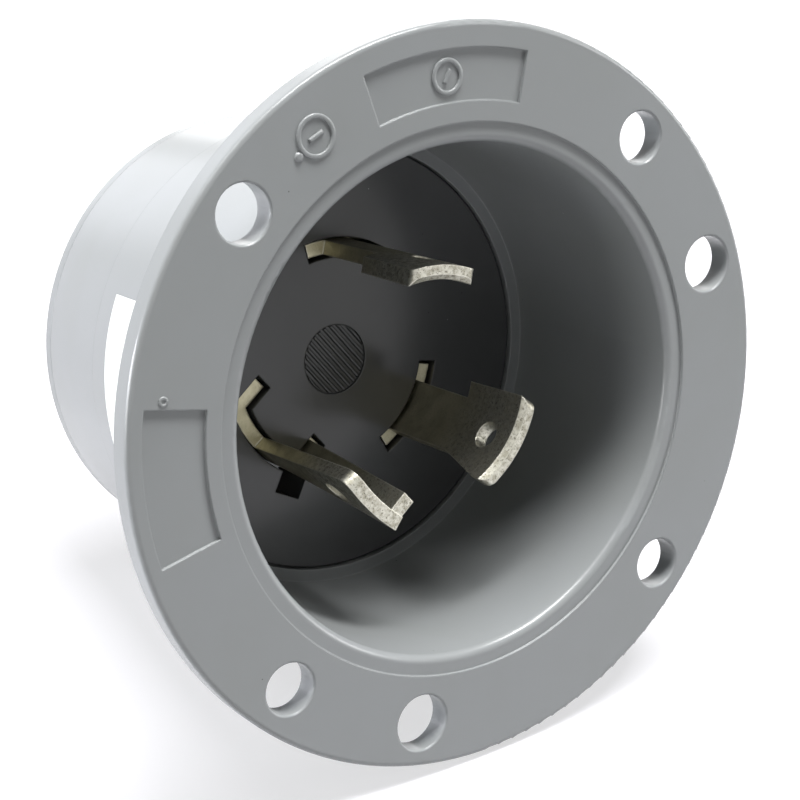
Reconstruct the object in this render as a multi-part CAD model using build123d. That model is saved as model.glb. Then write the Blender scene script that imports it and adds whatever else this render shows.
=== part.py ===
from build123d import *
import os
from math import cos, hypot, radians, sin

# Flanged twist-lock power inlet, in millimetres.
# Each piece is drawn with its axis on Z, Z pointing out of the mouth and Z = 0 on the
# flange's mounting face. The finished pieces are turned so that the mouth faces -Y,
# +Z is up and the body runs along +Y, behind the panel.
# A name that ends in _depth is measured backwards from the mounting face.

# Flange
flange_width = 9.7
flange_thickness = 2.5
flange_edge_round = 0.5
bolt_edge_distance = 4.75
small_hole_radius = 2.7
shared_hole_radius = 2.85
large_hole_radius = 3.0
hole_edge_chamfer = 0.15
shared_hole_angle = 135.0
square_hole_count = 4
triangle_hole_count = 3

# Shallow panels sunk in the flange's front: one over the mouth, one on its left
panel_depth = 0.35
top_panel_angle = 90.0
top_panel_half_angle = 15.7
top_panel_edge_distance = 2.6
top_panel_width = 5.1
side_panel_angle = 180.0
side_panel_half_angle = 12.2
side_panel_edge_distance = 1.6
side_panel_width = 6.5

# Cup
mouth_radius = 26.35
lip_band_width = 2.0
lip_band_sink = 0.3
lip_round = 0.8
cup_depth = 22.7
cup_taper = 0.85
ledge_width = 1.4
ledge_thickness = 1.5

# Outer body
body_wall = 2.05
body_root_round = 0.6
body_taper = 1.9
split_step = 0.3
spigot_length = 2.3
rear_taper = 0.8
rear_body_length = 13.3
cover_thickness = 1.7

# Blade carrier
carrier_sink = 0.5
carrier_rim_gap = 0.22
carrier_flange_thickness = 3.0
carrier_flange_gap = 0.1
carrier_flange_grip = 0.9
core_length = 2.0
core_shelf = 3.5
dial_radius = 3.95
dial_sink = 0.3
lightening_edge = 3.4
lightening_skin = 2.0

# Blades, bent to an arc about the axis
blade_inset = 13.7
blade_thickness = 1.6
blade_tip_depth = 3.7
blade_hole_radius = 1.5
right_hole_depth = 7.9
other_hole_depth = 9.2
neck_half_angle = 14.7
head_lead_angle = 24.0
head_step_angle = 22.9
right_trail_angle = 23.7
top_trail_angle = 12.2
head_back_depth = 13.4
flare_end_depth = 5.1
tip_bevel_length = 0.5
tip_bevel_height = 0.6
blade_corner_round = 0.8
shoulder_sink = 0.8
slot_side_gap = 0.3
slot_end_gap_angle = 2.3
slot_lead_angle = 1.5
base_half_angle = 23.4
right_blade_angle = -40.0
top_blade_angle = 74.0

# The grounding blade's slot and foot: an arc with both ends turned inwards
ground_slot_angle = -142.6
ground_arc_half_angle = 24.0
ground_leg_length = 3.6

# The grounding blade's neck and head: a strip that widens and leans outwards to its tip
ground_neck_trail_angle = -143.8
ground_tip_trail_angle = -150.0
ground_tip_lead_angle = -113.8
ground_tip_hook_angle = -116.6
ground_tip_lean = 1.4
ground_middle_share = 0.3
ground_hole_angle = -134.0
ground_corner_round = 1.6
hook_length = 3.2
hook_tip_sink = 0.7
relief_slot_angle = -118.7
relief_slot_outer_radius = 16.1
relief_slot_width = 3.2

# Terminals on the back of the carrier
terminal_width = 9.0
terminal_end_length = 3.8
screw_offset = 3.8
screw_radius = 2.03
screw_thread_gap = 0.05
screw_reach = 3.4
screw_head_radius = 3.5
screw_head_height = 2.0
screw_slot_width = 0.9
screw_slot_depth = 1.0
screw_bore_gap = 0.6
screw_bore_skin = 1.6
clamp_length = 7.2
clamp_width = 11.4
clamp_thickness = 1.2
clamp_groove_radius = 0.5
clamp_groove_pitch = 2.6
clamp_hole_gap = 0.07
clamp_ear_drop = 1.0
clamp_ear_gap = 0.15

# Rear body
rear_wall = 2.2
spigot_clearance = 0.1
spigot_core_gap = 0.3
snap_reach = 1.2
snap_height = 0.3
snap_gap = 0.08
hub_clamp_gap = 0.6
hub_wall = 2.0
barrier_thickness = 1.6
hub_cover_gap = 0.6
boss_edge_distance = 3.0
boss_radius = 3.1
boss_bore_depth = 9.0

# Rear cover and its screws
cover_edge_round = 0.5
cover_ring_height = 1.2
cover_ring_width = 1.2
cover_ring_gap = 0.15
wire_entry_radius = 3.3
wire_entry_edge_distance = 5.6
wire_entry_angle = 30.0
wire_funnel = 0.7
cover_pad_height = 1.6
cover_screw_radius = 1.45
cover_screw_head_radius = 2.8
cover_screw_head_height = 1.5
cover_screw_length = 8.0
cover_screw_gap = 0.05
cover_screw_hole_gap = 0.2
cover_screw_head_gap = 0.25

# Radii that follow from the mouth's, outwards and backwards
body_root_radius = mouth_radius + body_wall
flange_radius = body_root_radius + flange_width
bolt_circle_radius = flange_radius - bolt_edge_distance
top_panel_outer_radius = flange_radius - top_panel_edge_distance
side_panel_outer_radius = flange_radius - side_panel_edge_distance
split_radius = body_root_radius - body_taper
rear_radius = split_radius - split_step - rear_taper
cup_foot_radius = mouth_radius - cup_taper
blade_inner_radius = cup_foot_radius - blade_inset
lightening_radius = blade_inner_radius - lightening_edge

# Other sizes that follow from those above
blade_outer_radius = blade_inner_radius + blade_thickness
blade_middle_radius = blade_inner_radius + blade_thickness / 2
slot_inner_radius = blade_inner_radius - slot_side_gap
slot_outer_radius = blade_outer_radius + slot_side_gap
carrier_face_depth = cup_depth + carrier_sink
carrier_rim_radius = cup_foot_radius - ledge_width - carrier_rim_gap
carrier_flange_depth = cup_depth + ledge_thickness
carrier_flange_end = carrier_flange_depth + carrier_flange_thickness
carrier_flange_radius = carrier_rim_radius + carrier_flange_grip + carrier_rim_gap
core_radius = carrier_flange_radius - core_shelf
core_depth = carrier_flange_end + core_length
split_depth = carrier_flange_end + spigot_length
snap_depth = carrier_flange_end + snap_reach
seam_depth = split_depth + rear_body_length
body_depth = seam_depth + cover_thickness
screw_circle_radius = blade_outer_radius + screw_offset
terminal_end_radius = screw_circle_radius + terminal_end_length
hub_radius = screw_circle_radius - clamp_length / 2 - hub_clamp_gap
skirt_inner_radius = carrier_flange_radius + carrier_flange_gap
terminal_back_depth = core_depth + blade_thickness
clamp_back_depth = terminal_back_depth + clamp_thickness
terminal_angles = {
    "right": right_blade_angle,
    "top": top_blade_angle,
    "ground": ground_slot_angle,
}
barrier_angles = (
    (right_blade_angle + top_blade_angle) / 2,
    (right_blade_angle + ground_slot_angle) / 2,
    (ground_slot_angle + 360 + top_blade_angle) / 2,
)
inner_wall_radius = rear_radius - rear_wall
boss_circle_radius = inner_wall_radius - boss_edge_distance
boss_end_depth = seam_depth - cover_pad_height
wire_entry_circle_radius = inner_wall_radius - wire_entry_edge_distance


def polar(radius, angle):
    """A point of the drawing plane at a radius and an angle in degrees."""
    return (radius * cos(radians(angle)), radius * sin(radians(angle)))


def disc(radius, front, back):
    """A solid disc on the axis between two depths."""
    return Pos(0, 0, -back) * extrude(Circle(radius), back - front)


def ring(outer, inner, front, back):
    """A flat ring on the axis between two depths."""
    return Pos(0, 0, -back) * extrude(Circle(outer) - Circle(inner), back - front)


def round_post(radius, circle_radius, angle, front, back):
    """A round post or bore beside the axis between two depths."""
    x, y = polar(circle_radius, angle)
    return Pos(x, y, -back) * extrude(Circle(radius), back - front)


def turned(points):
    """A solid turned about the axis from corners given as (radius, depth)."""
    corners = [(radius, -depth) for radius, depth in points]
    return revolve(Plane.XZ * make_face(Polyline(*corners, close=True)), Axis.Z)


def sector(inner, outer, angle, half_angle):
    """A flat ring sector centred on an angle."""
    start, end = angle - half_angle, angle + half_angle
    outline = Line(polar(inner, start), polar(outer, start))
    outline += ThreePointArc(polar(outer, start), polar(outer, angle), polar(outer, end))
    outline += Line(polar(outer, end), polar(inner, end))
    outline += ThreePointArc(polar(inner, end), polar(inner, angle), polar(inner, start))
    return make_face(outline)


def sector_solid(inner, outer, angle, half_angle, front, back):
    """A ring sector between two depths."""
    return Pos(0, 0, -back) * extrude(sector(inner, outer, angle, half_angle), back - front)


def radial_bar(inner, outer, width, angle, front, back):
    """A straight bar along a radius between two depths."""
    bar = Pos((inner + outer) / 2, 0) * Rectangle(outer - inner, width)
    return Pos(0, 0, -back) * extrude(Rot(0, 0, angle) * bar, back - front)


def edges_at(solid, radius, depth):
    """The full circles of a solid at one radius and depth."""
    found = solid.edges().filter_by(GeomType.CIRCLE)
    return found.filter_by(
        lambda edge: abs(edge.radius - radius) < 0.01
        and abs(edge.arc_center.Z + depth) < 0.01
        and abs(edge.arc_center.X) + abs(edge.arc_center.Y) < 0.01
    )


def bolt_holes():
    """Mounting holes: a square pattern and a triangle that share one hole."""
    radii = {}
    for k in range(square_hole_count):
        radii[(shared_hole_angle + 360 * k / square_hole_count) % 360] = small_hole_radius
    for k in range(triangle_hole_count):
        radii[(shared_hole_angle + 360 * k / triangle_hole_count) % 360] = large_hole_radius
    radii[shared_hole_angle] = shared_hole_radius
    holes = Part()
    for angle, radius in radii.items():
        x, y = polar(bolt_circle_radius, angle)
        hole = Pos(x, y) * extrude(Circle(radius), flange_thickness)
        rim = radius + hole_edge_chamfer
        mouth = Cone(radius, rim, hole_edge_chamfer, align=(Align.CENTER, Align.CENTER, Align.MAX))
        holes += hole + Pos(x, y, flange_thickness) * mouth
    return holes


def front_housing():
    """Flange, cup and front half of the body, moulded as one piece."""
    front = -flange_thickness
    band_radius = mouth_radius + lip_band_width
    band = front + lip_band_sink
    ledge_radius = cup_foot_radius - ledge_width
    shell = turned([
        (band_radius, front), (flange_radius, front), (flange_radius, 0),
        (body_root_radius, 0), (split_radius, split_depth), (skirt_inner_radius, split_depth),
        (skirt_inner_radius, carrier_flange_depth), (ledge_radius, carrier_flange_depth),
        (ledge_radius, cup_depth), (cup_foot_radius, cup_depth),
        (mouth_radius, band), (band_radius, band),
    ])
    shell = fillet(edges_at(shell, flange_radius, front), flange_edge_round)
    shell = fillet(edges_at(shell, mouth_radius, band), lip_round)
    shell = fillet(edges_at(shell, body_root_radius, 0), body_root_round)
    groove_radius = skirt_inner_radius + snap_height
    shell -= turned([
        (skirt_inner_radius - 1, snap_depth - snap_height - snap_gap),
        (skirt_inner_radius, snap_depth - snap_height - snap_gap),
        (groove_radius, snap_depth), (skirt_inner_radius, snap_depth + snap_height + snap_gap),
        (skirt_inner_radius - 1, snap_depth + snap_height + snap_gap),
    ])
    panels = sector(top_panel_outer_radius - top_panel_width, top_panel_outer_radius,
                    top_panel_angle, top_panel_half_angle)
    panels += sector(side_panel_outer_radius - side_panel_width, side_panel_outer_radius,
                     side_panel_angle, side_panel_half_angle)
    shell -= Pos(0, 0, flange_thickness - panel_depth) * extrude(panels, panel_depth)
    return shell - bolt_holes()


def ground_strip(width, leg_length):
    """Plan of the grounding blade: an arc strip whose two ends turn in side by side."""
    start = ground_slot_angle - ground_arc_half_angle
    end = ground_slot_angle + ground_arc_half_angle
    inward = polar(leg_length, ground_slot_angle + 180)
    first, last = polar(blade_middle_radius, start), polar(blade_middle_radius, end)
    middle = polar(blade_middle_radius, ground_slot_angle)
    path = Line((first[0] + inward[0], first[1] + inward[1]), first)
    path += ThreePointArc(first, middle, last)
    path += Line(last, (last[0] + inward[0], last[1] + inward[1]))
    strip = trace(path, width)
    bends = strip.vertices().filter_by(
        lambda corner: hypot(corner.X, corner.Y) > blade_middle_radius + width / 4)
    return fillet(bends, width / 2)


def terminal_screw_bore(angle):
    """Blind bore in the carrier that takes the end of a terminal screw."""
    bore = screw_radius + screw_bore_gap
    skin = carrier_face_depth + screw_bore_skin
    return round_post(bore, screw_circle_radius, angle, skin, core_depth)


def blade_carrier():
    """Moulded disc at the bottom of the cup that holds the three blades."""
    carrier = disc(carrier_rim_radius, carrier_face_depth, carrier_flange_end)
    carrier += disc(carrier_flange_radius, carrier_flange_depth, carrier_flange_end)
    carrier += disc(core_radius, carrier_flange_end, core_depth)
    carrier -= disc(dial_radius, carrier_face_depth, carrier_face_depth + dial_sink)
    carrier -= disc(lightening_radius, carrier_face_depth + lightening_skin, core_depth)
    for angle in (right_blade_angle, top_blade_angle):
        carrier -= sector_solid(slot_inner_radius, slot_outer_radius, angle + slot_lead_angle,
                                base_half_angle + slot_end_gap_angle,
                                carrier_face_depth, core_depth)
    ground_slot = ground_strip(blade_thickness + 2 * slot_side_gap,
                               ground_leg_length + slot_side_gap)
    carrier -= Pos(0, 0, -core_depth) * extrude(ground_slot, core_depth - carrier_face_depth)
    carrier -= radial_bar(blade_middle_radius, relief_slot_outer_radius, relief_slot_width,
                          relief_slot_angle, carrier_face_depth, core_depth)
    for angle in terminal_angles.values():
        carrier -= terminal_screw_bore(angle)
    return carrier


def blade_outline(trail_angle):
    """Flattened outline of a blade above its foot, with the offset locking head."""
    def across(angle):
        return blade_middle_radius * sin(radians(angle))
    neck = across(neck_half_angle)
    trail = -across(trail_angle)
    foot = carrier_face_depth + shoulder_sink
    outline = Polyline(
        (max(trail, -neck), -foot), (neck, -foot), (neck, -head_back_depth),
        (across(head_step_angle), -head_back_depth), (across(head_lead_angle), -blade_tip_depth),
        (trail, -blade_tip_depth), (trail, -flare_end_depth),
        (max(trail, -neck), -head_back_depth + blade_corner_round), close=True,
    )
    face = make_face(outline)
    tips = face.vertices().filter_by(lambda corner: corner.Y > -head_back_depth + 1)
    return fillet(tips, blade_corner_round)


def curved_blank(inner, outer, outline):
    """The part of a tube about the axis that lies behind an outline seen along +X."""
    tube = ring(outer, inner, 0, core_depth + blade_thickness)
    upright = Plane((0, 0, 0), x_dir=(0, 1, 0), z_dir=(1, 0, 0))
    return tube & extrude(upright * outline, outer + 1)


def tip_bevel():
    """Ring cutter that bevels the inner edge of a blade's tip."""
    reach = blade_tip_depth + tip_bevel_length
    return turned([
        (blade_inner_radius - 1, reach), (blade_inner_radius, reach),
        (blade_inner_radius + tip_bevel_height, blade_tip_depth),
        (blade_inner_radius + tip_bevel_height, blade_tip_depth - 1),
        (blade_inner_radius - 1, blade_tip_depth - 1),
    ])


def terminal(angle):
    """Flat terminal on the carrier's back, bent outwards from a blade's foot."""
    plate = radial_bar(blade_inner_radius, terminal_end_radius, terminal_width, angle,
                       core_depth, terminal_back_depth)
    x, y = polar(screw_circle_radius, angle)
    return plate - Pos(x, y, -terminal_back_depth) * extrude(
        Circle(screw_radius + screw_thread_gap), blade_thickness)


def blade_hole(angle, depth):
    """Hole through a blade's head."""
    return Pos(0, 0, -depth) * Rot(0, 0, angle) * Rot(0, 90, 0) * Cylinder(
        blade_hole_radius, 2 * blade_outer_radius, align=(Align.CENTER, Align.CENTER, Align.MIN))


def line_blade(angle, trail_angle, hole_depth):
    """Line blade with its head, foot, shoulders and terminal, cut and bent from one strip."""
    top = curved_blank(blade_inner_radius, blade_outer_radius, blade_outline(trail_angle))
    foot = sector_solid(blade_inner_radius, blade_outer_radius, angle + slot_lead_angle,
                        base_half_angle, carrier_face_depth + shoulder_sink, terminal_back_depth)
    blade = Rot(0, 0, angle) * (top - tip_bevel()) + foot + terminal(angle)
    return blade - blade_hole(angle, hole_depth)


def strip_section(trail_angle, lead_angle, lean, depth):
    """Section of the grounding blade's strip, its leading end leaning outwards."""
    middle = polar(blade_middle_radius + lean * ground_middle_share,
                   (trail_angle + lead_angle) / 2)
    arc = ThreePointArc(polar(blade_middle_radius, trail_angle), middle,
                        polar(blade_middle_radius + lean, lead_angle))
    return Pos(0, 0, -depth) * trace(arc, blade_thickness)


def hook_section(angle, lean, depth):
    """Section of the leg turned inwards near the strip's leading end."""
    start = polar(blade_middle_radius + lean, angle)
    inward = polar(hook_length, ground_slot_angle + 180)
    end = (start[0] + inward[0], start[1] + inward[1])
    return Pos(0, 0, -depth) * trace(Line(start, end), blade_thickness)


def ground_blade():
    """Grounding blade: its foot's ends and its head's leading edge are turned inwards."""
    foot_top = carrier_face_depth + shoulder_sink
    neck_lead_angle = ground_slot_angle + ground_arc_half_angle
    foot = Pos(0, 0, -terminal_back_depth) * extrude(
        ground_strip(blade_thickness, ground_leg_length), terminal_back_depth - foot_top)
    strip = loft([
        strip_section(ground_neck_trail_angle, neck_lead_angle, 0, foot_top),
        strip_section(ground_tip_trail_angle, ground_tip_lead_angle, ground_tip_lean,
                      blade_tip_depth),
    ], ruled=True)
    x, y = polar(blade_middle_radius, ground_tip_trail_angle)
    tip_edges = strip.edges().group_by(Axis.Z)[-1]
    strip = fillet(tip_edges.sort_by_distance((x, y, -blade_tip_depth))[0], ground_corner_round)
    hook = loft([
        hook_section(neck_lead_angle, 0, foot_top),
        hook_section(ground_tip_hook_angle, ground_tip_lean, blade_tip_depth + hook_tip_sink),
    ], ruled=True)
    head = strip - blade_hole(ground_hole_angle, other_hole_depth)
    return head + hook + foot + terminal(ground_slot_angle)


def clamp_plate(angle):
    """Pressure plate under a terminal screw, grooved across, with an ear down each side."""
    plate = Box(clamp_length, clamp_width, clamp_thickness,
                align=(Align.CENTER, Align.CENTER, Align.MIN))
    for side in (-1, 1):
        ear_y = side * (terminal_width / 2 + clamp_ear_gap)
        ear_reach = side * clamp_width / 2
        ear = Box(clamp_length / 2, abs(ear_reach - ear_y), clamp_ear_drop,
                  align=(Align.CENTER, Align.CENTER, Align.MIN))
        plate += Pos(0, (ear_y + ear_reach) / 2, clamp_thickness) * ear
        plate -= Pos(side * clamp_groove_pitch, 0, clamp_thickness) * Rot(90, 0, 0) * Cylinder(
            clamp_groove_radius, 2 * clamp_width)
    plate -= Cylinder(screw_radius + clamp_hole_gap, 4 * clamp_thickness)
    seat = Rot(0, 0, angle) * Pos(screw_circle_radius, 0, -clamp_back_depth)
    return seat * plate


def terminal_screw(angle):
    """Slotted binding-head screw that draws a clamp plate down on its terminal."""
    shank_length = clamp_thickness + blade_thickness + screw_reach
    shank = Cylinder(screw_radius, shank_length, align=(Align.CENTER, Align.CENTER, Align.MIN))
    shank = chamfer(shank.edges().filter_by(GeomType.CIRCLE).sort_by(Axis.Z)[-1], screw_radius / 4)
    head = Cylinder(screw_head_radius, screw_head_height,
                    align=(Align.CENTER, Align.CENTER, Align.MAX))
    head = fillet(head.edges().filter_by(GeomType.CIRCLE).sort_by(Axis.Z)[0], screw_head_height / 4)
    slot = Pos(0, 0, -screw_head_height) * Box(
        screw_slot_width, 3 * screw_head_radius, screw_slot_depth,
        align=(Align.CENTER, Align.CENTER, Align.MIN))
    seat = Rot(0, 0, angle) * Pos(screw_circle_radius, 0, -clamp_back_depth)
    return seat * (shank + head - slot)


def rear_body():
    """Rear half of the body: wiring chambers parted by barriers round a central hub."""
    front_radius = split_radius - split_step
    spigot_outer = skirt_inner_radius - spigot_clearance
    spigot_inner = core_radius + spigot_core_gap
    shell = turned([
        (spigot_inner, carrier_flange_end), (spigot_outer, carrier_flange_end),
        (spigot_outer, snap_depth - snap_height), (spigot_outer + snap_height, snap_depth),
        (spigot_outer, snap_depth + snap_height), (spigot_outer, split_depth),
        (front_radius, split_depth), (rear_radius, seam_depth), (inner_wall_radius, seam_depth),
        (inner_wall_radius, split_depth + rear_wall), (spigot_inner, split_depth),
    ])
    shell += ring(hub_radius, hub_radius - hub_wall, terminal_back_depth,
                  seam_depth - hub_cover_gap)
    for angle in barrier_angles:
        shell += radial_bar(hub_radius - hub_wall / 2, inner_wall_radius + rear_wall / 2,
                            barrier_thickness, angle, core_depth, boss_end_depth)
        shell += round_post(boss_radius, boss_circle_radius, angle, core_depth, boss_end_depth)
        shell -= round_post(cover_screw_radius + cover_screw_gap, boss_circle_radius, angle,
                            boss_end_depth - boss_bore_depth, boss_end_depth)
    return shell


def rear_cover():
    """Cover on the back, with a wire entry for each terminal."""
    cover = disc(rear_radius, seam_depth, body_depth)
    cover = fillet(edges_at(cover, rear_radius, body_depth), cover_edge_round)
    ring_outer = inner_wall_radius - cover_ring_gap
    pad_radius = ring_outer - boss_circle_radius
    locating = ring(ring_outer, ring_outer - cover_ring_width,
                    seam_depth - cover_ring_height, seam_depth)
    for angle in barrier_angles:
        locating -= round_post(boss_radius + cover_ring_gap, boss_circle_radius, angle,
                               seam_depth - cover_ring_height, seam_depth)
    cover += locating
    head_bore = cover_screw_head_radius + cover_screw_head_gap
    for angle in barrier_angles:
        cover += round_post(pad_radius, boss_circle_radius, angle, boss_end_depth, seam_depth)
        cover -= round_post(cover_screw_radius + cover_screw_hole_gap, boss_circle_radius, angle,
                            boss_end_depth, body_depth)
        cover -= round_post(head_bore, boss_circle_radius, angle,
                            body_depth - cover_screw_head_height, body_depth)
    for angle in terminal_angles.values():
        x, y = polar(wire_entry_circle_radius, angle + wire_entry_angle)
        cover -= Pos(x, y, -body_depth) * extrude(Circle(wire_entry_radius), body_depth - seam_depth)
        cover -= Pos(x, y, -body_depth) * Cone(
            wire_entry_radius + wire_funnel, wire_entry_radius, wire_funnel,
            align=(Align.CENTER, Align.CENTER, Align.MIN))
    return cover


def cover_screw(angle):
    """Pan-head screw that holds the rear cover to a boss."""
    seat_depth = body_depth - cover_screw_head_height
    shank = Cylinder(cover_screw_radius, cover_screw_length,
                     align=(Align.CENTER, Align.CENTER, Align.MIN))
    head = Cylinder(cover_screw_head_radius, cover_screw_head_height,
                    align=(Align.CENTER, Align.CENTER, Align.MAX))
    head = fillet(head.edges().filter_by(GeomType.CIRCLE).sort_by(Axis.Z)[0],
                  cover_screw_head_height / 3)
    x, y = polar(boss_circle_radius, angle)
    return Pos(x, y, -seat_depth) * (shank + head)


def all_nodes():
    """Every piece by the name of its node."""
    nodes = {
        "front_housing": front_housing(),
        "blade_carrier": blade_carrier(),
        "line_blade_right": line_blade(right_blade_angle, right_trail_angle, right_hole_depth),
        "line_blade_top": line_blade(top_blade_angle, top_trail_angle, other_hole_depth),
        "ground_blade": ground_blade(),
        "rear_body": rear_body(),
        "rear_cover": rear_cover(),
    }
    for name, angle in terminal_angles.items():
        nodes["clamp_plate_" + name] = clamp_plate(angle)
        nodes["terminal_screw_" + name] = terminal_screw(angle)
    for k, angle in enumerate(barrier_angles):
        nodes["cover_screw_" + str(k + 1)] = cover_screw(angle)
    return nodes


os.makedirs("parts", exist_ok=True)
for node, piece in all_nodes().items():
    export_step(Rot(90, 0, 0) * piece, "parts/" + node + ".step")
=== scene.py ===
from math import cos, pi, radians, sin, tau

import bmesh
import bpy
from mathutils import Matrix, Vector


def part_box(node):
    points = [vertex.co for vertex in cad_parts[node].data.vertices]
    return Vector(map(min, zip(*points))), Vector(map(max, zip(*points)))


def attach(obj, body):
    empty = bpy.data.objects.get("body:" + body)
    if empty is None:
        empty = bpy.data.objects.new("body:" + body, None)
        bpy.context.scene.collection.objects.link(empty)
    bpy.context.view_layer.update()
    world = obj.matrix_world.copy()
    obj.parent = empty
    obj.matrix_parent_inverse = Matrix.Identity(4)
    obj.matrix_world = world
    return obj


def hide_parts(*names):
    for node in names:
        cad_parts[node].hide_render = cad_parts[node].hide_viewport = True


# Looks of a flanged twist-lock power inlet. Lengths are in metres, and MM turns millimetres
# into metres. The inlet's axis lies along Y with its mouth facing -Y, and Z is up. A depth is
# a place along Y, and an angle goes round the axis from +X towards +Z, in degrees.
MM = 0.001
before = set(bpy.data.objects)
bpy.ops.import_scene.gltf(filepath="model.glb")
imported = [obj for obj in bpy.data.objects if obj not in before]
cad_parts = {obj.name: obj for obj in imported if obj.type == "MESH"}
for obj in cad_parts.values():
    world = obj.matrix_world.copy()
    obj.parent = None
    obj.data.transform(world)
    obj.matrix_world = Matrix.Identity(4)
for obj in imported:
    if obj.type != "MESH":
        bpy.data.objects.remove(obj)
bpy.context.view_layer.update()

# Places read from the frame
flange_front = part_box("front_housing")[0].y
flange_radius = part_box("front_housing")[1].x
carrier_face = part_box("blade_carrier")[0].y
cover_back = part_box("rear_cover")[1].y
cover_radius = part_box("rear_cover")[1].x
split_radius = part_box("rear_body")[1].x
split_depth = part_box("front_housing")[1].y
body_root_radius = 28.4 * MM
body_split_radius = 26.5 * MM
frame_angles = {"right": -40.0, "top": 74.0, "ground": -142.6}

# The photograph's camera, worked out from the flange's and the body's circles
camera_target = Vector((-4.71, 3.194, 0.481)) * MM
camera_distance = 193.252 * MM
camera_azimuth = 32.7
camera_elevation = 16.586
camera_roll = -4.407
camera_focal_pixels = 1904.57
image_pixels = 800
sensor_width_mm = 36.0


def polar(radius, angle, depth):
    """A point at a radius and an angle round the inlet's axis, at a depth."""
    return Vector((radius * cos(radians(angle)), depth, radius * sin(radians(angle))))


# Node trees and colours

def add(tree, kind, inputs=None, **settings):
    """Adds a node with its settings; each input is linked to a socket or set to a value."""
    made = tree.nodes.new(kind)
    for name, value in settings.items():
        setattr(made, name, value)
    for name, value in (inputs or {}).items():
        if isinstance(value, bpy.types.NodeSocket):
            tree.links.new(value, made.inputs[name])
        else:
            made.inputs[name].default_value = value
    return made


def linear(code):
    """An sRGB hex colour as linear red, green, blue and alpha."""
    parts = [int(code[k:k + 2], 16) / 255 for k in (1, 3, 5)]
    return [p / 12.92 if p <= 0.04045 else ((p + 0.055) / 1.055) ** 2.4 for p in parts] + [1.0]


def per(size_mm):
    """The texture scale at which one feature measures a size in millimetres."""
    return 1 / (size_mm * MM)


def new_material(name):
    """A material with its shader and its Object coordinates."""
    material = bpy.data.materials.new(name)
    material.use_nodes = True
    tree = material.node_tree
    tree.nodes.clear()
    shader = add(tree, "ShaderNodeBsdfPrincipled")
    add(tree, "ShaderNodeOutputMaterial", {"Surface": shader.outputs["BSDF"]})
    place = add(tree, "ShaderNodeTexCoord").outputs["Object"]
    return material, tree, shader, place


def noise(tree, place, size_mm, detail=3.0, roughness=0.5, distortion=0.0):
    """Noise whose features are about one size across."""
    made = add(tree, "ShaderNodeTexNoise", {
        "Vector": place, "Scale": per(size_mm), "Detail": detail, "Roughness": roughness,
        "Distortion": distortion})
    return made.outputs["Fac"]


def ramp(tree, value, low, high, out_low=0.0, out_high=1.0):
    """A value stretched from one range to another and held at its ends."""
    made = add(tree, "ShaderNodeMapRange", {
        "Value": value, "From Min": low, "From Max": high, "To Min": out_low, "To Max": out_high})
    return made.outputs["Result"]


def blend_colour(tree, factor, first, second):
    """A colour between two others, each a hex code or a socket."""
    ends = [linear(c) if isinstance(c, str) else c for c in (first, second)]
    made = add(tree, "ShaderNodeMix", {0: factor, 6: ends[0], 7: ends[1]}, data_type="RGBA")
    return made.outputs[2]


def times(tree, first, second):
    """Two values multiplied."""
    return add(tree, "ShaderNodeMath", {0: first, 1: second}, operation="MULTIPLY").outputs[0]


def larger(tree, first, second):
    """The larger of two values."""
    return add(tree, "ShaderNodeMath", {0: first, 1: second}, operation="MAXIMUM").outputs[0]


def specks(tree, place, spacing_mm, size, share):
    """Mask of scattered round specks: their spacing, their size in spacings, and the share kept."""
    cells = add(tree, "ShaderNodeTexVoronoi", {"Vector": place, "Scale": per(spacing_mm)})
    near = ramp(tree, cells.outputs["Distance"], size, size * 0.6)
    pick = add(tree, "ShaderNodeSeparateColor", {"Color": cells.outputs["Color"]}).outputs["Red"]
    return times(tree, near, ramp(tree, pick, 1 - share, 1 - share + 0.01))


def bumps(tree, rounding_mm, layers):
    """Rounds the edges and lays heights over them, each given as (height, depth in millimetres)."""
    normal = add(tree, "ShaderNodeBevel", {"Radius": rounding_mm * MM}, samples=6).outputs["Normal"]
    for height, depth_mm in layers:
        normal = add(tree, "ShaderNodeBump", {
            "Height": height, "Distance": depth_mm * MM, "Strength": 1.0, "Normal": normal},
        ).outputs["Normal"]
    return normal


def edge_mask(tree, rounding_mm):
    """Mask of the outer and inner edges, where the rounded normal leaves the face's own."""
    rounded = add(tree, "ShaderNodeBevel", {"Radius": rounding_mm * MM}, samples=6)
    plain = add(tree, "ShaderNodeNewGeometry")
    likeness = add(tree, "ShaderNodeVectorMath", {
        0: rounded.outputs["Normal"], 1: plain.outputs["Normal"]}, operation="DOT_PRODUCT")
    return ramp(tree, likeness.outputs["Value"], 0.995, 0.90)


# Materials

def moulded_nylon(name, colour, shade, roughness):
    """Grey nylon, injection moulded in a polished tool: soft gloss, flow marks, a little dust."""
    material, tree, shader, place = new_material(name)
    flow = noise(tree, place, 14, detail=2, distortion=0.8)
    tone = blend_colour(tree, ramp(tree, flow, 0.35, 0.68), colour, shade)
    dust = specks(tree, place, 2.6, 0.035, 0.22)
    tone = blend_colour(tree, times(tree, dust, 0.75), tone, "#2A2B2C")
    lint = specks(tree, place, 3.1, 0.024, 0.16)
    tone = blend_colour(tree, times(tree, lint, 0.6), tone, "#DADCDD")
    tree.links.new(tone, shader.inputs["Base Color"])
    shader.inputs["IOR"].default_value = 1.53
    haze = noise(tree, place, 9, detail=1)
    tree.links.new(ramp(tree, haze, 0.3, 0.7, roughness - 0.01, roughness + 0.01),
                   shader.inputs["Roughness"])
    ripple = noise(tree, place, 7, detail=0)
    grain = noise(tree, place, 0.3, detail=1)
    normal = bumps(tree, 0.22, [(ripple, 0.008), (grain, 0.0006)])
    tree.links.new(normal, shader.inputs["Normal"])
    return material


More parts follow.
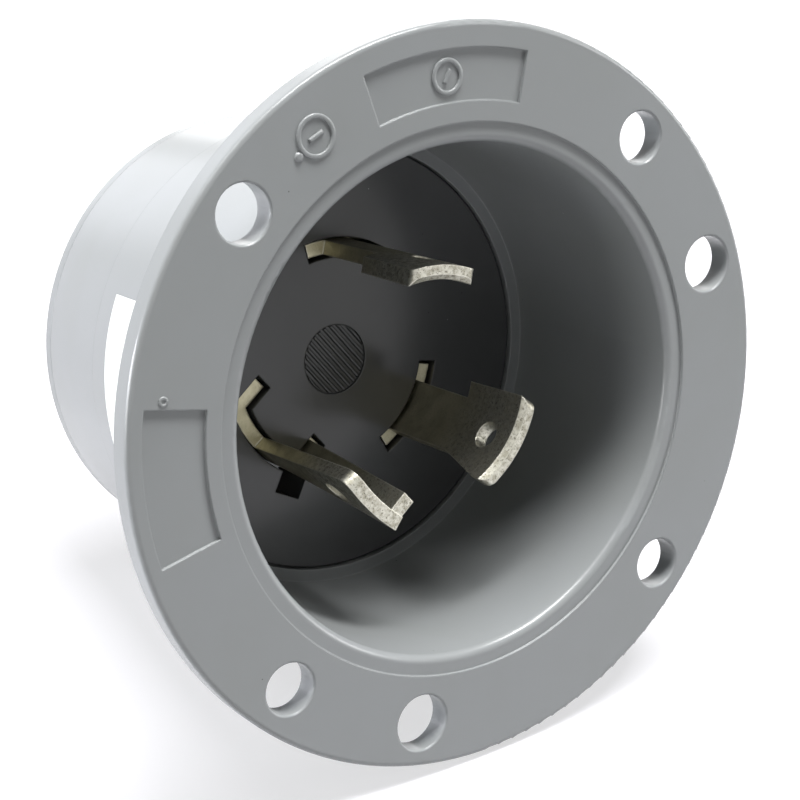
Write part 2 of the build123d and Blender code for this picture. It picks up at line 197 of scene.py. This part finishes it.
def plated_blade():
    """Brass strip, blanked, bent and nickel plated: smooth olive necks, worn and pitted silver
    heads, and rubbed, brighter edges."""
    material, tree, shader, place = new_material("nickel_plated_brass")
    shader.inputs["Metallic"].default_value = 1.0
    depth = add(tree, "ShaderNodeSeparateXYZ", {"Vector": place}).outputs["Y"]
    head = ramp(tree, depth, 15 * MM, 9 * MM)
    blotch = noise(tree, place, 2.4, detail=3, distortion=0.3)
    pits = noise(tree, place, 0.22, detail=2, roughness=0.6, distortion=0.5)
    wear = noise(tree, place, 0.6, detail=3, roughness=0.6)
    tone = blend_colour(tree, ramp(tree, blotch, 0.35, 0.65), "#BCB79E", "#A7A28A")
    silver = blend_colour(tree, ramp(tree, wear, 0.4, 0.62), "#C2C0B4", "#9B988A")
    tone = blend_colour(tree, head, tone, silver)
    pitted = times(tree, ramp(tree, pits, 0.57, 0.63), ramp(tree, head, 0.0, 1.0, 0.15, 0.7))
    tone = blend_colour(tree, pitted, tone, "#57544A")
    rubbed = edge_mask(tree, 0.22)
    tone = blend_colour(tree, times(tree, rubbed, 0.8), tone, "#DAD8CC")
    tree.links.new(tone, shader.inputs["Base Color"])
    polish = ramp(tree, wear, 0.35, 0.65, 0.34, 0.5)
    tree.links.new(polish, shader.inputs["Roughness"])
    normal = bumps(tree, 0.22, [(wear, 0.02), (pits, 0.01)])
    tree.links.new(normal, shader.inputs["Normal"])
    return material


def turned_metal(name, colour, stain, roughness):
    """Screw metal, cold headed and plated: fine tumbling scuffs and brighter edges."""
    material, tree, shader, place = new_material(name)
    shader.inputs["Metallic"].default_value = 1.0
    cloud = noise(tree, place, 1.6, detail=4, roughness=0.6)
    tone = blend_colour(tree, ramp(tree, cloud, 0.4, 0.66), colour, stain)
    tone = blend_colour(tree, times(tree, edge_mask(tree, 0.12), 0.5), tone, "#F0ECE0")
    tree.links.new(tone, shader.inputs["Base Color"])
    scuffs = noise(tree, place, 0.2, detail=3, roughness=0.6)
    tree.links.new(ramp(tree, scuffs, 0.3, 0.7, roughness - 0.08, roughness + 0.1),
                   shader.inputs["Roughness"])
    tree.links.new(bumps(tree, 0.12, [(scuffs, 0.004)]), shader.inputs["Normal"])
    return material


def label_paper():
    """Coated white label paper: bright, nearly matt, with a fine fibre."""
    material, tree, shader, place = new_material("label_paper")
    fibre = noise(tree, place, 0.3, detail=3)
    tree.links.new(blend_colour(tree, fibre, "#EDEDEA", "#F2F2F0"), shader.inputs["Base Color"])
    shader.inputs["Roughness"].default_value = 0.55
    tree.links.new(bumps(tree, 0.05, [(fibre, 0.003)]), shader.inputs["Normal"])
    return material


housing_nylon = moulded_nylon("moulded_grey_nylon", "#949798", "#929595", 0.25)
# The carrier's nylon is the housing's grey made much darker: painted shade standing in for the
# shadow deep in the cup.
carrier_nylon_painted_shade = moulded_nylon("moulded_carrier_nylon_painted_shade", "#4C4D4E", "#494A4B", 0.22)
blade_metal = plated_blade()
steel = turned_metal("zinc_plated_steel", "#C9C8C3", "#A9A79F", 0.36)
brass = turned_metal("bright_brass", "#D8B873", "#B08F4C", 0.32)
green_steel = turned_metal("green_dyed_screw", "#2F7A45", "#245F36", 0.38)
paper = label_paper()

node_materials = {
    "front_housing": housing_nylon, "rear_body": housing_nylon, "rear_cover": housing_nylon,
    "blade_carrier": carrier_nylon_painted_shade, "line_blade_right": blade_metal,
    "line_blade_top": blade_metal, "ground_blade": blade_metal,
    "clamp_plate_right": steel, "clamp_plate_top": steel, "clamp_plate_ground": steel,
}
for node, material in node_materials.items():
    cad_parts[node].data.materials.clear()
    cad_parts[node].data.materials.append(material)


# Mesh helpers

def piece(name, mesh_bm, material, body, sharp_angle=35.0):
    """Turns a built form into a finished piece: welded, facing outwards, smooth up to an angle."""
    bmesh.ops.remove_doubles(mesh_bm, verts=mesh_bm.verts, dist=0.002 * MM)
    bmesh.ops.recalc_face_normals(mesh_bm, faces=mesh_bm.faces)
    mesh = bpy.data.meshes.new(name)
    mesh_bm.to_mesh(mesh)
    mesh_bm.free()
    for face in mesh.polygons:
        face.use_smooth = True
    mesh.set_sharp_from_angle(angle=radians(sharp_angle))
    mesh.materials.append(material)
    made = bpy.data.objects.new(name, mesh)
    bpy.context.scene.collection.objects.link(made)
    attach(made, body)
    return made


def lathe(mesh_bm, profile, centre, axis_angle=0.0, segments=64):
    """Adds a closed form turned about a line along Y: profile points are (radius, depth)."""
    rings = []
    for radius, depth in profile:
        if radius < 1e-9:
            rings.append([mesh_bm.verts.new(centre + Vector((0, depth, 0)))])
        else:
            rings.append([
                mesh_bm.verts.new(centre + polar(radius, axis_angle + 360 * k / segments, depth))
                for k in range(segments)])
    for first, second in zip(rings, rings[1:]):
        for k in range(segments):
            corners = [first[k % len(first)], first[(k + 1) % len(first)],
                       second[(k + 1) % len(second)], second[k % len(second)]]
            unique = list(dict.fromkeys(corners))
            if len(unique) > 2:
                mesh_bm.faces.new(unique)


def rounded_ring_profile(inner, outer, floor, top, rounding):
    """Section of a raised ring with two rounded top edges, from its inner foot to its outer."""
    steps = 4
    arc = [rounding * (1 - cos(pi / 2 * k / steps)) for k in range(steps + 1)]
    rise = [rounding * sin(pi / 2 * k / steps) for k in range(steps + 1)]
    sign = 1 if top > floor else -1
    side = [(inner + a, top - sign * (rounding - r)) for a, r in zip(arc, rise)]
    other = [(outer - a, top - sign * (rounding - r)) for a, r in zip(reversed(arc), reversed(rise))]
    return [(inner, floor)] + side + other + [(outer, floor)]


# Raised marks on the flange, plain rings with a stud, and the ribbed spot on the carrier

mark_line_width = 0.45 * MM
mark_round = 0.12 * MM
mark_height = 0.22 * MM
panel_floor = flange_front + 0.35 * MM
carrier_spot_radius = 3.95 * MM
carrier_spot_floor = carrier_face + 0.3 * MM
rib_pitch = 0.74 * MM
rib_angle = -52.6


def ring_mark(form, centre, radius, bar_angle):
    """A raised ring with a short bar across its middle."""
    floor = centre.y
    lathe(form, rounded_ring_profile(radius - mark_line_width, radius, 0, -mark_height,
                                     mark_round), centre)
    along = polar(radius * 0.42, bar_angle, 0)
    across = polar(mark_line_width / 2, bar_angle + 90, 0)
    low, high = [], []
    for a, b in ((-1, -1), (1, -1), (1, 1), (-1, 1)):
        low.append(form.verts.new(centre + along * a + across * b))
        top = centre + along * (a * 0.9) + across * (b * 0.6)
        top.y = floor - mark_height
        high.append(form.verts.new(top))
    form.faces.new(high)
    for k in range(4):
        form.faces.new([low[k], low[(k + 1) % 4], high[(k + 1) % 4], high[k]])


def make_flange_marks():
    """The mark in the top panel, the one beside it with its dot, and the pip on the left."""
    form = bmesh.new()
    ring_mark(form, polar(32.9 * MM, 90.0, panel_floor), 1.8 * MM, 60)
    ring_mark(form, polar(33.2 * MM, 117.5, flange_front), 2.1 * MM, 25)
    dot = polar(32.75 * MM, 121.9, flange_front)
    lathe(form, [(0, -mark_height), (0.3 * MM, -mark_height), (0.45 * MM, -mark_height / 2),
                 (0.5 * MM, 0)], dot, segments=24)
    lathe(form, rounded_ring_profile(0.2 * MM, 0.5 * MM, 0, -mark_height / 2, 0.08 * MM),
          polar(34.6 * MM, 166.5, flange_front), segments=32)
    piece("flange_marks", form, housing_nylon, "root")


def make_spot_ribs():
    """Parallel ribs with rounded crests that fill the sunk spot on the carrier."""
    form = bmesh.new()
    along = polar(1, rib_angle, 0)
    across = polar(1, rib_angle + 90, 0)
    reach = carrier_spot_radius - 0.12 * MM
    rows = int(reach / rib_pitch)
    section = [(-0.32, 0.0), (-0.24, 0.75), (-0.1, 1.0), (0.1, 1.0), (0.24, 0.75), (0.32, 0.0)]
    for row in range(-rows, rows + 1):
        ends = []
        for sign in (-1, 1):
            end = []
            for offset, rise in section:
                place = (row + offset) * rib_pitch
                half = max(reach * reach - place * place, 0) ** 0.5
                point = along * (sign * half) + across * place
                point.y = carrier_spot_floor - rise * 0.26 * MM
                end.append(form.verts.new(point))
            ends.append(end)
        first, second = ends
        for k in range(len(section) - 1):
            form.faces.new([first[k], first[k + 1], second[k + 1], second[k]])
        form.faces.new(first)
        form.faces.new(second)
    # The ribs take the carrier's darkened nylon, whose dark grey is painted shade of the deep cup.
    piece("carrier_spot_ribs", form, carrier_nylon_painted_shade, "root", sharp_angle=50)


# Blank label wrapped round the left side of the body

label_front, label_back = 8.0 * MM, 25.9 * MM
label_start, label_end = 154.0, 193.0
label_lift = 0.06 * MM


def body_radius_at(depth):
    """Outer radius of the front body, which narrows evenly from the flange to the split."""
    return body_root_radius + (body_split_radius - body_root_radius) * depth / split_depth


def make_label():
    """A paper label that follows the body's taper."""
    form = bmesh.new()
    columns, rows = 40, 24
    grid = []
    for i in range(rows + 1):
        depth = label_front + (label_back - label_front) * i / rows
        line = []
        for k in range(columns + 1):
            angle = label_start + (label_end - label_start) * k / columns
            line.append(form.verts.new(polar(body_radius_at(depth) + label_lift, angle, depth)))
        grid.append(line)
    for i in range(rows):
        for k in range(columns):
            form.faces.new([grid[i][k], grid[i][k + 1], grid[i + 1][k + 1], grid[i + 1][k]])
    made = piece("blank_label", form, paper, "root")
    return made


# Screws, with their threads and driver recesses

def threaded_shank(form, centre, radius, start, end, pitch, thread_depth, tip):
    """A shank along +Y from start to end, whose surface follows a helical thread."""
    segments, per_turn = 32, 8
    rows = int(abs(end - start) / pitch * per_turn)
    rings = []
    for j in range(rows + 1):
        depth = start + (end - start) * j / rows
        line = []
        for k in range(segments):
            phase = (abs(depth - start) / pitch - k / segments) % 1.0
            flank = min(phase, 1 - phase) * 2
            groove = thread_depth * max(0.0, min(1.0, 1.35 * flank - 0.15))
            fade = min(1.0, (rows - j) / per_turn + 0.05)
            size = (radius - groove) * (1 - tip * (1 - fade))
            line.append(form.verts.new(centre + polar(size, 360 * k / segments, depth)))
        rings.append(line)
    for first, second in zip(rings, rings[1:]):
        for k in range(segments):
            form.faces.new([first[k], first[(k + 1) % segments],
                            second[(k + 1) % segments], second[k]])
    form.faces.new(rings[0])
    form.faces.new(list(reversed(rings[-1])))


def box_form(form, centre, sizes, turn):
    """Adds a box of three sizes, turned about the Y axis by an angle in degrees."""
    placed = Matrix.Translation(centre) @ Matrix.Rotation(radians(turn), 4, "Y")
    bmesh.ops.create_cube(form, size=1.0, matrix=placed @ Matrix.Diagonal((*sizes, 1.0)))


def carved(solid_form, cutter_form):
    """The first form less the second, by an exact boolean."""
    meshes = []
    for k, form in enumerate((solid_form, cutter_form)):
        bmesh.ops.recalc_face_normals(form, faces=form.faces)
        mesh = bpy.data.meshes.new(f"carving_{k}")
        form.to_mesh(mesh)
        form.free()
        meshes.append(bpy.data.objects.new(f"carving_{k}", mesh))
        bpy.context.scene.collection.objects.link(meshes[-1])
    solid, cutter = meshes
    change = solid.modifiers.new("carve", "BOOLEAN")
    change.operation, change.object, change.solver = "DIFFERENCE", cutter, "EXACT"
    graph = bpy.context.evaluated_depsgraph_get()
    result = bmesh.new()
    result.from_object(solid, graph)
    for made in meshes:
        mesh = made.data
        bpy.data.objects.remove(made)
        bpy.data.meshes.remove(mesh)
    return result


def pan_head(form, centre, radius, seat, height, crown):
    """A screw head from its seat outwards: straight rim, rounded shoulder and low crown."""
    sign = 1 if height > 0 else -1
    rise = abs(height)
    profile = [(0, seat), (radius, seat), (radius, seat + sign * rise * 0.45)]
    steps = 8
    for k in range(1, steps + 1):
        turn = pi / 2 * k / steps
        profile.append((radius * (1 - crown) + radius * crown * cos(turn),
                        seat + sign * rise * (0.45 + 0.5 * sin(turn))))
    profile.append((0, seat + height))
    lathe(form, profile, centre)


def make_cover_screw(name):
    """Pan head self-tapping screw with a cross recess, in place of its plain solid."""
    low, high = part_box(name)
    middle = Vector(((low.x + high.x) / 2, 0, (low.z + high.z) / 2))
    head_radius = (high.x - low.x) / 2
    head_height = 1.5 * MM
    seat = high.y - head_height
    form = bmesh.new()
    pan_head(form, middle, head_radius, seat, head_height, 0.45)
    turn = 20.0 + 37.0 * int(name[-1])
    for quarter in (0, 90):
        cutter = bmesh.new()
        box_form(cutter, middle + Vector((0, high.y, 0)), (3.0 * MM, 1.5 * MM, 0.55 * MM),
                 turn + quarter)
        form = carved(form, cutter)
    cutter = bmesh.new()
    lathe(cutter, [(0, seat + 0.5 * MM), (0.35 * MM, seat + 0.6 * MM),
                   (0.75 * MM, high.y + 0.2 * MM), (0, high.y + 0.2 * MM)], middle, segments=24)
    form = carved(form, cutter)
    threaded_shank(form, middle, 1.45 * MM, seat, low.y, 1.25 * MM, 0.38 * MM, 0.5)
    made = piece(name + "_detailed", form, steel, "root")
    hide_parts(name)


def make_terminal_screw(side, material):
    """Slotted binding-head screw with a machine thread, in place of its plain solid."""
    name = "terminal_screw_" + side
    low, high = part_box(name)
    middle = Vector(((low.x + high.x) / 2, 0, (low.z + high.z) / 2))
    head_radius = (high.x - low.x) / 2
    head_height = 2.0 * MM
    seat = high.y - head_height
    head, cutter = bmesh.new(), bmesh.new()
    pan_head(head, middle, head_radius, seat, head_height, 0.3)
    box_form(cutter, middle + Vector((0, high.y, 0)), (8.0 * MM, 2.0 * MM, 0.9 * MM),
             -frame_angles[side])
    form = carved(head, cutter)
    threaded_shank(form, middle, 2.03 * MM, seat, low.y, 0.79 * MM, 0.4 * MM, 0.15)
    made = piece(name + "_detailed", form, material, "screw_" + side)
    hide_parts(name)


make_flange_marks()
make_spot_ribs()
make_label()
for number in (1, 2, 3):
    make_cover_screw(f"cover_screw_{number}")
make_terminal_screw("right", brass)
make_terminal_screw("top", brass)
make_terminal_screw("ground", green_steel)


# Camera, lamps and floor

def make_camera():
    """The photograph's camera, with the roll that the leaning flange gives it."""
    azimuth, elevation = radians(camera_azimuth), radians(camera_elevation)
    forward = Vector((sin(azimuth) * cos(elevation), cos(azimuth) * cos(elevation),
                      -sin(elevation)))
    level_right = forward.cross(Vector((0, 0, 1))).normalized()
    level_up = level_right.cross(forward)
    roll = radians(camera_roll)
    right = level_right * cos(roll) + level_up * sin(roll)
    up = right.cross(forward)
    data = bpy.data.cameras.new("camera")
    data.sensor_width = sensor_width_mm
    data.lens = camera_focal_pixels / image_pixels * sensor_width_mm
    data.clip_start, data.clip_end = 10 * MM, 10.0
    made = bpy.data.objects.new("camera", data)
    bpy.context.scene.collection.objects.link(made)
    turn = Matrix((right, up, -forward)).transposed().to_4x4()
    made.matrix_world = Matrix.Translation(camera_target - forward * camera_distance) @ turn
    bpy.context.scene.camera = made


def make_lamp(name, azimuth, elevation, distance, size, power, colour="#FFFFFF"):
    """A square soft box that faces the inlet, placed by compass and height like a view."""
    a, e = radians(azimuth), radians(elevation)
    back = Vector((sin(a) * cos(e), -cos(a) * cos(e), sin(e)))
    data = bpy.data.lights.new(name, "AREA")
    data.shape, data.size, data.energy = "SQUARE", size, power
    data.color = linear(colour)[:3]
    made = bpy.data.objects.new(name, data)
    made.location = camera_target + back * distance
    made.rotation_mode = "QUATERNION"
    made.rotation_quaternion = back.to_track_quat("Z", "Y")
    bpy.context.scene.collection.objects.link(made)
    return made


def seen_directly(tree):
    """1 for what the camera sees, straight or mirrored in metal and gloss, and 0 for the rest."""
    path = add(tree, "ShaderNodeLightPath").outputs
    mirrored = larger(tree, path["Is Glossy Ray"], path["Is Transmission Ray"])
    return larger(tree, path["Is Camera Ray"], mirrored)


def make_floor():
    """White table under the flange's edge and the cover's edge, on which the inlet leans.

    It slopes up behind the inlet, so a camera below it looks through its underside."""
    lean = (flange_radius - cover_radius) / cover_back
    radius = 0.6
    material, tree, shader, place = new_material("white_table")
    shader.inputs["Roughness"].default_value = 0.7
    seen = seen_directly(tree)
    tree.links.new(blend_colour(tree, seen, "#A0A0A2", "#AFAEB3"), shader.inputs["Base Color"])
    tree.links.new(times(tree, seen, 0.6), shader.inputs["Emission Strength"])
    shader.inputs["Emission Color"].default_value = (1, 1, 1, 1)
    camera_ray = add(tree, "ShaderNodeLightPath").outputs["Is Camera Ray"]
    underside = add(tree, "ShaderNodeNewGeometry").outputs["Backfacing"]
    clear = add(tree, "ShaderNodeBsdfTransparent").outputs["BSDF"]
    surface = add(tree, "ShaderNodeMixShader", {
        0: times(tree, underside, camera_ray), 1: shader.outputs["BSDF"], 2: clear})
    tree.links.new(surface.outputs["Shader"], tree.nodes["Material Output"].inputs["Surface"])
    form = bmesh.new()
    rim = []
    for k in range(64):
        x, y = radius * cos(tau * k / 64), radius * sin(tau * k / 64)
        rim.append(form.verts.new((x, y, -flange_radius + y * lean)))
    form.faces.new(rim)
    mesh = bpy.data.meshes.new("table")
    form.to_mesh(mesh)
    form.free()
    mesh.materials.append(material)
    made = bpy.data.objects.new("table", mesh)
    bpy.context.scene.collection.objects.link(made)


def make_world():
    """White to the camera, and a soft grey room to everything else."""
    world = bpy.data.worlds.new("room")
    bpy.context.scene.world = world
    world.use_nodes = True
    tree = world.node_tree
    tree.nodes.clear()
    room = add(tree, "ShaderNodeBackground", {"Color": linear("#F4F5FA"), "Strength": 0.03})
    white = add(tree, "ShaderNodeBackground", {"Color": (1, 1, 1, 1), "Strength": 1.0})
    mixed = add(tree, "ShaderNodeMixShader", {
        0: seen_directly(tree), 1: room.outputs[0], 2: white.outputs[0]})
    add(tree, "ShaderNodeOutputWorld", {"Surface": mixed.outputs[0]})


make_camera()
make_floor()
make_world()
lamp_distance = 0.9
soft_boxes = {
    "left_low": (-120, 5, 0.30, 9.4, "#F4F6FF"), "left_side": (-90, 5, 0.30, 3.5, "#FFFFFF"),
    "left_high": (-75, 65, 0.30, 1.4, "#FFFFFF"), "overhead": (0, 80, 0.30, 6.6, "#FFFFFF"),
    "right_high": (45, 65, 0.30, 8.0, "#FFFFFF"), "right_low": (60, 5, 0.30, 2.0, "#FFFFFF"),
    "back": (180, 20, 0.34, 0.4, "#F4F6FF"), "back_right": (150, 20, 0.34, 0.5, "#FFFFFF"),
}
for name, (azimuth, elevation, size, power, colour) in soft_boxes.items():
    make_lamp(name, azimuth, elevation, lamp_distance, size, power, colour)
bpy.context.scene.view_settings.view_transform = "Standard"
